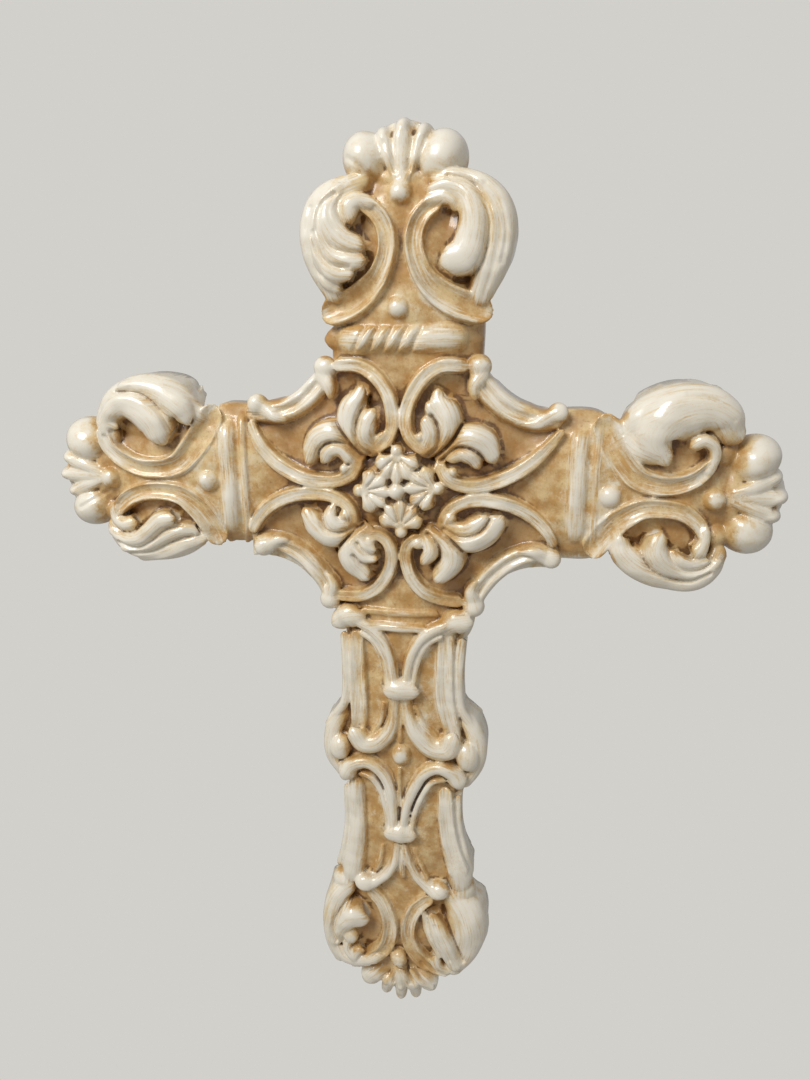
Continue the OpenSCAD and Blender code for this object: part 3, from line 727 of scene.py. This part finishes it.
# %% [markdown]
# The back of such a casting is the open face of the mould, struck off level, so that the
# cross lies flat on a wall. A bisect cuts it and fills it. Three rounds of smoothing then
# take off the stair steps that the voxels leave, as a damp sponge does on clay.

# %% Saw the back flat
bpy.ops.object.mode_set(mode="EDIT")
bpy.ops.mesh.select_all(action="SELECT")
bpy.ops.mesh.bisect(plane_co=(0, 0, 0.01), plane_no=(0, 0, 1), clear_inner=True, use_fill=True)
bpy.ops.object.mode_set(mode="OBJECT")
apply(cast, "SMOOTH", factor=0.5, iterations=3)
print("after the saw:", len(cast.data.polygons), "faces")

# %% [markdown]
# Before casting, the modeller draws the creases between the lobes with the edge of a
# tool. A knife cut would be too sharp and a displaced texture too vague, so each crease
# is a line of points, and the points of the skin near it are pressed down, most of all
# along the line itself. Slow waves then give the surface the unevenness of handwork.

# %% Creases
CREASE_HALF_WIDTH = 1.8  # mm, where a crease gives no other
CREASES = [  # how deep, in mm, and the points of the line
    # upper arm
    (1.5, [(-26.3, 124.6), (-32.3, 119.1), (-33.1, 110.7), (-28.3, 104), (-21.4, 101.6),
           (-14.4, 101.6)]),
    (1.3, [(-35.2, 109.7), (-33.7, 102.3), (-28.3, 96.8), (-20.4, 95.8)]),
    (0.8, [(-36.7, 119.6), (-38.7, 110.7), (-36.7, 100.8), (-32.3, 92.8)]),
    (1.6, [(20.3, 130.5), (30.2, 128), (36.4, 119.6), (37.6, 109.7), (35.6, 99.8), (30.7, 92.4),
           (24.2, 90.4)]),
    (0.7, [(35.2, 127.5), (42.1, 118.6), (44.6, 108.7), (43.1, 97.8)]),
    (1.2, [(-1.7, 133.5), (-3.1, 142.4), (-4.1, 151.3)]), (1.6,
                                                           [(3.8, 133.5), (5, 142.4),
                                                            (6.2, 152.3)]),
    (0.8, [(-21.8, 138.9), (-16.4, 135.5), (-10.4, 130.5)]),
    # left arm
    (1.8, [(-129.4, 42.3), (-119.5, 41.8), (-112.6, 37.8), (-107.8, 31.9), (-105.1, 25.4)]),
    (0.6, [(-139.3, 33.4), (-132.4, 40.8), (-122.5, 44.3)]),
    (1.5, [(-136.3, -29.6), (-127.4, -31.7), (-119.5, -28.1), (-112.1, -22.1), (-103.6, -19.7)]),
    (1.2, [(-131.4, -35), (-119.5, -33.3), (-109.1, -28.1), (-98.7, -24.9)]),
    (0.8, [(-154.7, -13.2), (-147.3, -8.8), (-141.3, -4.8)]),
    # right arm
    (0.6, [(141.2, 35.3), (133.3, 42.8), (121.4, 45.8)]),
    (1.7, [(109.8, -17.7), (109.1, -24.1), (113, -30.6), (120.4, -34.3), (129.8, -35.4),
           (138.3, -31.6)]),
    (1.3, [(120, -19.7), (121.4, -25.6), (126.4, -30.5), (134.3, -30.3), (139.2, -26.1)]),
    # leaves of the middle
    (2.4, [(-12.9, 17), (-16.9, 20.5), (-18.4, 26.4), (-17.8, 32.4), (-15.9, 37.3), (-13.4, 41.3)]),
    (2.4, [(-16.9, 15.5), (-23.3, 21.3), (-29.8, 22.1), (-35, 18.7), (-36.2, 13.5)]),
    (2.4, [(13.8, 17), (17.9, 21), (18.6, 26.4), (17.5, 31.4), (15.3, 34.7)]),
    (2.4, [(19.8, 15), (26.2, 20.7), (33, 20.5), (37.5, 17.1), (38.6, 13.5)]),
    (2.2, [(-19.4, -16.5), (-26.3, -19.4), (-32.9, -18.1), (-35.2, -12.7)]),
    (1.9, [(-17.9, -24.3), (-13.9, -29.4), (-10, -29.9)]), (1.9,
                                                            [(-19.9, -30.1), (-15.9, -34.4),
                                                             (-10.9, -35.2)]),
    (2.2, [(14.1, -18.7), (19.1, -24.1), (19.5, -30.6), (16.3, -36)]),
    (2.2, [(21.3, -16.2), (28.2, -19.4), (34.2, -18.4), (38.9, -15.5), (41.6, -11.2)]),
    # between neighbouring leaves of the middle
    (3.2, [(-14.4, 15), (-18.4, 18.8), (-23.3, 24.4), (-27.8, 30.9)]),
    (3.2, [(15.8, 15.5), (20.3, 19.5), (24.7, 24.4), (28.2, 30.9)]),
    (3.2, [(-15.9, -15.7), (-20.9, -19.9), (-25.8, -25.1), (-29.3, -30.1)]),
    (3.2, [(16.8, -15.7), (22.8, -19.7), (28.2, -24.6), (32.2, -29.1)]),
    # lower end
    (1.4, [(-26.8, -223.6), (-32.3, -232.5), (-34.9, -241.4), (-33.2, -250.3)]),
    (1.6, [(23.9, -225.6), (27.9, -235.5), (32.6, -246.3), (35.7, -254.2)]),
    (1.1, [(20.5, -232.5), (24.4, -243.4), (28.4, -253.2)]),
    (1.2, [(-13, -264.1), (-16.5, -271.9)]), (1.2, [(13.1, -261.1), (19, -269)]),
    (1.3, [(-0.6, -263.1), (-2.2, -276.9)]), (1.3, [(4.5, -263.1), (6.7, -276.9)]),
]
for turn, reach, side in MOTIFS:  # between the rosette's lobes
    for lean in (-48, -16, 16, 48):
        c, s = math.sin(math.radians(lean)), math.cos(math.radians(lean))
        groove = [(3 * c, 16.2 - 3 * s), (12.5 * c, 16.2 - 12.5 * s)]
        CREASES.append((0.9, turned(groove, turn, reach, side), 1.0))
for k in range(5):  # the twist of the roll across the upper neck
    CREASES.append((1.2, [(-19.9 + 6.2 * k, 61.9), (-17.4 + 6.2 * k, 66.1), (-14.9 + 6.2 * k, 71)]))


def read_points(mesh):
    """The points of a mesh, one row of x, y, z for each."""
    points = np.empty(len(mesh.vertices) * 3)
    mesh.vertices.foreach_get("co", points)
    return points.reshape(-1, 3)


skin = read_points(cast.data)
for deep, points, *wide in CREASES:
    wide = wide[0] if wide else CREASE_HALF_WIDTH
    line = np.array(smooth_path([(x, y, 25, 0.01) for x, y in points]))[:, :2]
    near = np.flatnonzero((skin[:, 0] > line[:, 0].min() - 3) & (skin[:, 0] < line[:, 0].max() + 3)
                          & (skin[:, 1] > line[:, 1].min() - 3) & (skin[:, 1] < line[:,
                                                                                     1].max() + 3)
                          & (skin[:, 2] > 10))
    away = np.full(len(near), 99.0)
    for a, b in zip(line, line[1:]):
        t = np.clip(((skin[near, :2] - a) @ (b - a)) / max((b - a) @ (b - a), 1e-9), 0, 1)
        away = np.minimum(away, np.linalg.norm(skin[near, :2] - a - t[:, None] * (b - a), axis=1))
    press = np.clip(1 - away / wide, 0, 1)
    skin[near, 2] -= deep * press**2 * (3 - 2 * press)
# the unevenness of handwork
for wave, size in ((23, 0.16), (13, 0.1), (7.5, 0.06)):  # mm: length and half height
    for turn, phase in zip(rng.uniform(0, math.pi, 3), rng.uniform(0, 2 * math.pi, 3)):
        along = skin[:, 0] * math.cos(turn) + skin[:, 1] * math.sin(turn)
        skin[:, 2] += size * np.sin(2 * math.pi * along / wave + phase) * (skin[:, 2] > 2)
cast.data.vertices.foreach_set("co", skin.ravel())
cast.data.update()
print("creases:", len(CREASES))

# %% [markdown]
# The glaze settles where the surface lies lower than what is around it, and the wipe
# takes it off whatever stands proud. Both are read off the cast: a map of its heights is
# compared with the same map spread out and blurred.

# %% Where the glaze stays
CELL = 1.3 * VOXEL  # mm, so that every cell holds a point of the skin
MARGIN = 12  # mm of empty board kept around the cross
skin = read_points(cast.data)
corner = skin[:, :2].min(0) - MARGIN
shape = tuple(((skin[:, :2].max(0) + MARGIN - corner) / CELL).astype(int) + 2)
height = np.zeros(shape)
cells = ((skin[:, :2] - corner) / CELL + 0.5).astype(int)
np.maximum.at(height, (cells[:, 0], cells[:, 1]), skin[:, 2])


def blurred(grid, mm):
    """The grid averaged three times over a square window."""
    r = max(1, round(mm / CELL / 1.7))
    for axis in (0, 1, 0, 1, 0, 1):
        pad = [(r + 1, r) if k == axis else (0, 0) for k in (0, 1)]
        total = np.cumsum(np.pad(grid, pad, mode="edge"), axis=axis)
        span = 2 * r + 1
        upper = np.take(total, range(span, total.shape[axis]), axis)
        lower = np.take(total, range(total.shape[axis] - span), axis)
        grid = (upper - lower) / span
    return grid


def spread(grid, mm):
    """The highest value within a square window."""
    for axis in (0, 1):
        best = grid.copy()
        for k in range(1, round(mm / CELL) + 1):
            best = np.maximum(best, np.maximum(np.roll(grid, k, axis), np.roll(grid, -k, axis)))
        grid = best
    return grid


# a rag stretched over the relief bridges every hollow narrower than about 20 mm
rag = -spread(-spread(height, 10.0), 10.0)
depth = blurred(np.clip(blurred(rag, 3.0) - blurred(height, 0.7), 0, None), 0.7)
inside = np.clip((-spread(-height, 2.8) - 8) / 4, 0, 1)  # 0 along the outer edge
crease = np.clip(blurred(height, 2.4) - height, 0, None) * inside

print("rag bridges hollows up to", round(float(depth.max()), 1), "mm deep")

# %% [markdown]
# The skin is far finer than the shapes need. Decimate thins it and keeps the points where
# the surface bends, so the creases stay.

# %% Thin the skin
def count_triangles(mesh):
    return sum(len(face.vertices) - 2 for face in mesh.polygons)


triangles = count_triangles(cast.data)
apply(cast, "DECIMATE", ratio=min(1.0, TRIANGLES / triangles), use_collapse_triangulate=True)
print("thinned:", triangles, "to", len(cast.data.polygons), "triangles")

# %% [markdown]
# The cross hangs from a blind hole drilled in the back of the upper arm, on a nail. A
# cylinder taken out by Boolean does what the drill does. It comes after the thinning, so
# that the rim of the hole stays round.

# %% Drill the hanging hole
HOLE_RADIUS = 3.0
HOLE_DEPTH = 12.0
HOLE_Y = -MIDDLE_Z / MM  # the part's zero lies at the mouth of this hole
drill(cast, 0, HOLE_Y, HOLE_RADIUS, HOLE_DEPTH, 48, "MANIFOLD")
print("after drilling:", count_triangles(cast.data), "triangles")

# %% [markdown]
# The paint needs to know, at each point, how low it lies and which stroke it is on, how
# far along the stroke and how far across. These are kept as attributes, which stay with
# the mesh. The cross is then turned from the board to the wall and scaled to metres.

# %% Stand the cross up
skin = read_points(cast.data)
print("box on the board, mm:", skin.min(0).round(1), skin.max(0).round(1))


def at_vertices(grid):
    """The grid's values under the vertices, blended between cells."""
    p = (skin[:, :2] - corner) / CELL
    i = np.floor(p).astype(int)
    fx, fy = (p - i).T
    a, b = i.T
    return ((grid[a, b] * (1 - fx) + grid[a + 1, b] * fx) * (1 - fy)
            + (grid[a, b + 1] * (1 - fx) + grid[a + 1, b + 1] * fx) * fy)


def keep(name, values):
    """Keeps one value for each point of the mesh, for the paint to read."""
    layer = cast.data.attributes.new(name, "FLOAT", "POINT")
    layer.data.foreach_set("value", values.astype(np.float32))


for name, grid in (("depth", depth), ("crease", crease)):
    keep(name, at_vertices(grid))
    print(name, "mm:", grid.min().round(2), "to", grid.max().round(2))
tree = kdtree.KDTree(len(brushed))
for k, row in enumerate(brushed):
    tree.insert(row[:3], k)
tree.balance()
line = np.array(brushed)[[tree.find(point)[1] for point in skin]]
away = skin[:, :2] - line[:, :2]
marks = {"front": np.clip((skin[:, 2] - 1) / 5, 0, 1),  # 0 on the back, which is not painted
         "across": away[:, 0] * line[:, 4] - away[:, 1] * line[:, 3],
         "along": line[:, 5] + away[:, 0] * line[:, 3] + away[:, 1] * line[:, 4],
         "stroke": line[:, 7],
         "on_stroke": np.clip(4 - 3 * np.linalg.norm(away, axis=1) / line[:, 6], 0, 1)}
for name, values in marks.items():
    keep(name, values)
stood = np.column_stack([skin[:, 0] * MM, -skin[:, 2] * MM, skin[:, 1] * MM + MIDDLE_Z])
cast.data.vertices.foreach_set("co", stood.ravel())
cast.data.shade_smooth()
cast.data.update()
# the sawn back and the bottom of the hole are plain flat faces, square to the wall
facing = np.empty(len(cast.data.polygons) * 3)
cast.data.polygons.foreach_get("normal", facing)
cast.data.polygons.foreach_set("use_smooth", facing[1::3] < 0.97)
cast.data.update()
for name in SECTIONS:
    bpy.data.objects.remove(bpy.data.objects["section_" + name])
print("the cross stands from", stood[:, 2].min().round(3), "to", stood[:, 2].max().round(3), "m")

# %% [markdown]
# Antiqued resin: an ivory coat sprayed on the casting, a brown glaze brushed over it and
# wiped off again, and a clear gloss varnish. The eye sees ivory on whatever stands proud,
# tan where the rag did not reach, dark brown lines at the foot of each form (glaze, and
# shade painted in from an occlusion node), fine streaks along the strokes and small
# highlights from the varnish. A flat colour with one noise could not give that, so the
# glaze follows the depth that the rag had to reach.

# %% Paint
def linear(hex_colour):
    """An sRGB hex colour as linear RGBA."""
    channels = [int(hex_colour[i:i + 2], 16) / 255 for i in (1, 3, 5)]
    return [c / 12.92 if c <= 0.04045 else ((c + 0.055) / 1.055) ** 2.4 for c in channels] + [1.0]


def add(material, kind, **settings):
    """Adds a node; a setting is one of its properties, or a socket named by in_0, in_1..."""
    node = material.node_tree.nodes.new(kind)
    for key, value in settings.items():
        if key.startswith("in_"):
            socket = node.inputs[int(key[3:])]
            if isinstance(value, bpy.types.NodeSocket):
                material.node_tree.links.new(value, socket)
            else:
                socket.default_value = value
        else:
            setattr(node, key, value)
    return node


def new_material(name):
    material = bpy.data.materials.new(name)
    material.use_nodes = True
    return material, material.node_tree.nodes["Principled BSDF"]


paint, varnish = new_material("antiqued_ivory_resin")


def maths(operation, a, b=0.0, c=0.0):
    return add(paint, "ShaderNodeMath", operation=operation, in_0=a, in_1=b, in_2=c).outputs[0]


def ramp(value, start, end, to_0=0.0, to_1=1.0):
    """A smooth step of a value between two limits."""
    return add(paint, "ShaderNodeMapRange", interpolation_type="SMOOTHSTEP", in_0=value, in_1=start,
               in_2=end, in_3=to_0, in_4=to_1).outputs[0]


def noise(vector, scale, detail=3.0, rough=0.55):
    node = add(paint, "ShaderNodeTexNoise", in_0=vector, in_2=scale, in_3=detail, in_4=rough)
    return node.outputs[0]


def blend(factor, a, b, mode="MIX"):
    node = add(paint, "ShaderNodeMix", data_type="RGBA", blend_type=mode, in_0=factor, in_6=a,
               in_7=b)
    return node.outputs[2]


def attribute(name):
    return add(paint, "ShaderNodeAttribute", attribute_name=name).outputs[2]


RAW = linear("#E6DECB")  # the bare casting, at the back
IVORY = linear("#F1E9D9")  # the sprayed coat, wiped clean
CREAM = linear("#E4D3B0")  # the coat with a film of glaze left on it
TAN = linear("#E3C894")  # the glaze where the rag hardly reached
WASH = linear("#C79B5C")  # the same, in its browner patches
UMBER = linear("#9A6C35")  # specks and the deepest hollows
GLAZE_POOL_AND_SHADE = linear("#5C3714")  # the glaze run together at the foot of a form, deepened by painted shade
# the scale of a pattern is in cycles per metre, so 1000 mm / scale is its size
spot = add(paint, "ShaderNodeTexCoord").outputs["Object"]
# brush marks: fine across each stroke, long along it
bristle = add(paint, "ShaderNodeCombineXYZ",
              in_0=maths("MULTIPLY", attribute("across"), 1.1),  # about 1 mm apart
              in_1=maths("MULTIPLY", attribute("along"), 0.07),  # about 14 mm long
              in_2=maths("MULTIPLY", attribute("stroke"), 5.3)).outputs[0]
streak = noise(bristle, 1.0, 5.0, 0.65)
blots = noise(spot, 170.0, 6.0, 0.65)  # about 6 mm, with grit down to a tenth
patch = noise(spot, 36.0, 2.0, 0.5)  # about 28 mm: areas wiped harder than others
grit = noise(spot, 900.0, 2.0, 0.7)  # about 1 mm
on = attribute("on_stroke")
low = attribute("depth")
mark = add(paint, "ShaderNodeMix", data_type="FLOAT", in_0=on, in_2=blots, in_3=streak).outputs[0]
mark = maths("SUBTRACT", mark, 0.5)
# how deep a spot is to the wiping rag, in mm, with the uneven wipe added
reach = maths("MULTIPLY_ADD", mark, 7.5, maths("MINIMUM", low, 3.4))
reach = maths("MULTIPLY_ADD", maths("SUBTRACT", patch, 0.5), 3.0, reach)
reach = maths("MULTIPLY_ADD", maths("SUBTRACT", grit, 0.5), 1.6, reach)
stained = ramp(reach, -0.6, 1.7)
washed = ramp(reach, 0.6, 2.6)
hidden = maths("ADD", low, maths("MULTIPLY", grit, 2.0))
dark = ramp(maths("MULTIPLY_ADD", blots, 6.0, hidden), 5.6, 10.5)
# glaze pools in the pressed creases; where two forms meet within about 2 mm an occlusion node also
# paints shade into the colour
shade = add(paint, "ShaderNodeAmbientOcclusion", samples=8, in_1=0.0022).outputs["AO"]
pooled_and_shaded = maths("ADD", ramp(attribute("crease"), 0.6, 2.0), ramp(shade, 0.75, 0.3, 0.0, 0.85))
uneven = maths("ADD", maths("MULTIPLY_ADD", blots, 0.9, 0.05), maths("MULTIPLY", grit, 0.7))
pooled_and_shaded = maths("MULTIPLY", pooled_and_shaded, uneven)
clouds = noise(spot, 110.0, 6.0, 0.7)  # about 9 mm: light and dark areas of the ground
ground = blend(ramp(clouds, 0.36, 0.62), TAN, WASH)
colour = blend(maths("MULTIPLY", stained, 0.85), IVORY, CREAM)
colour = blend(washed, colour, ground)
flecks = noise(spot, 520.0, 3.0, 0.75)  # about 2 mm
speck = maths("MULTIPLY", ramp(flecks, 0.56, 0.72), maths("MULTIPLY", washed, 0.55))
colour = blend(speck, colour, UMBER)
colour = blend(maths("MULTIPLY", dark, 0.6), colour, UMBER)
# dark brown: glaze in the creases, plus painted shade where forms meet
colour = blend(ramp(pooled_and_shaded, 0.12, 1.0, 0.0, 0.85), colour, GLAZE_POOL_AND_SHADE)
colour = blend(attribute("front"), RAW, colour)
paint.node_tree.links.new(colour, varnish.inputs["Base Color"])
# the varnish sinks in a little where the glaze is thick
gloss = ramp(maths("MULTIPLY_ADD", blots, 0.4, washed), 0.2, 1.3, 0.24, 0.42)
paint.node_tree.links.new(gloss, varnish.inputs["Roughness"])
varnish.inputs["Coat Weight"].default_value = 0.5
varnish.inputs["Coat Roughness"].default_value = 0.12
# the brushed coats leave a slight tooth, about a third of 0.12 mm high
grain = maths("MULTIPLY_ADD", streak, 0.6, maths("MULTIPLY", grit, 0.5))
tooth = add(paint, "ShaderNodeBump", in_0=0.35, in_1=0.00012, in_3=grain)
paint.node_tree.links.new(tooth.outputs[0], varnish.inputs["Normal"])
cast.data.materials.clear()
cast.data.materials.append(paint)

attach(cast, "root")
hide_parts("cross")

# %% [markdown]
# The cross hangs free, well above a pale floor, so that its back can be seen too. The
# floor and the air behind it look plain pale grey to the eye, but give off no more light
# than a real room would: that is what the Is Camera Ray switch is for.

# %% Floor and air
PALE = linear("#D2D0CB")
FLOOR_Z = -1.2  # m
FLOOR_SIDE = 20  # m
AIR_STRENGTH = 0.4


def pale_to_the_eye(owner, shader, output):
    """Shows the eye a plain pale grey, while the light still comes from the shader."""
    switch = add(owner, "ShaderNodeLightPath").outputs["Is Camera Ray"]
    plain = add(owner, "ShaderNodeEmission", in_0=PALE, in_1=1.0).outputs[0]
    mixed = add(owner, "ShaderNodeMixShader", in_0=switch, in_1=shader, in_2=plain)
    owner.node_tree.links.new(mixed.outputs[0], owner.node_tree.nodes[output].inputs["Surface"])


drop_selection()
bpy.ops.mesh.primitive_plane_add(size=FLOOR_SIDE, location=(0, 0, FLOOR_Z))
floor = bpy.context.object
floor.name = "floor"
matt, plaster = new_material("plain_floor_paint")
plaster.inputs["Base Color"].default_value = PALE
plaster.inputs["Roughness"].default_value = 0.9
pale_to_the_eye(matt, plaster.outputs[0], "Material Output")
floor.data.materials.append(matt)

world = bpy.data.worlds.new("studio")
world.use_nodes = True
sky = world.node_tree.nodes["Background"]
sky.inputs["Color"].default_value = (1, 1, 1, 1)
sky.inputs["Strength"].default_value = AIR_STRENGTH
pale_to_the_eye(world, sky.outputs[0], "World Output")
bpy.context.scene.world = world
print("floor", round(lowest[2] - FLOOR_Z, 2), "m below the cross")

# %% [markdown]
# One large soft lamp stands high on the left, which gives each roll a bright side and a
# shaded foot. The pale air fills in the rest, the flat back included.

# %% Lamp
LAMP_POWER = 11  # W
LAMP_SIDE = 0.5  # m
LAMP_FROM_MIDDLE = Vector((-0.5, -0.8, 0.8))  # m

middle = Vector((0, 0, MIDDLE_Z))
lamp = bpy.data.lights.new("key", "AREA")
lamp.energy = LAMP_POWER
lamp.size = LAMP_SIDE
stand = bpy.data.objects.new("key", lamp)
bpy.context.collection.objects.link(stand)
stand.location = middle + LAMP_FROM_MIDDLE
stand.rotation_euler = (middle - stand.location).to_track_quat("-Z", "Y").to_euler()
print("lamp:", lamp.energy, "W at", [round(c, 2) for c in stand.location])

# %% [markdown]
# The camera stands close, a little to the right and above the middle, and looks down and
# to the left, so the raised forms lean away from it.

# %% Camera
SENSOR = 36.0  # mm high
LENS = 26.33  # mm
EYE = (52.67, -368.4, 75.19)  # mm from the middle of the flat back

camera = bpy.data.cameras.new("camera")
camera.sensor_fit = "VERTICAL"
camera.sensor_height = SENSOR
camera.lens = LENS
eye = bpy.data.objects.new("camera", camera)
bpy.context.collection.objects.link(eye)
eye.location = (EYE[0] * MM, EYE[1] * MM, MIDDLE_Z + EYE[2] * MM)
# where it looks, and which way its own upright leans
forward = Vector((-0.1358, 0.9533, -0.2698))
up = Vector((-0.0425, 0.2664, 0.9629))
right = forward.cross(up).normalized()
up = right.cross(forward).normalized()
turn = Matrix((right, up, -forward)).transposed()
eye.rotation_euler = turn.to_euler()
bpy.context.scene.camera = eye
bpy.context.scene.view_settings.view_transform = "Standard"
print("camera at", [round(c, 3) for c in eye.location])
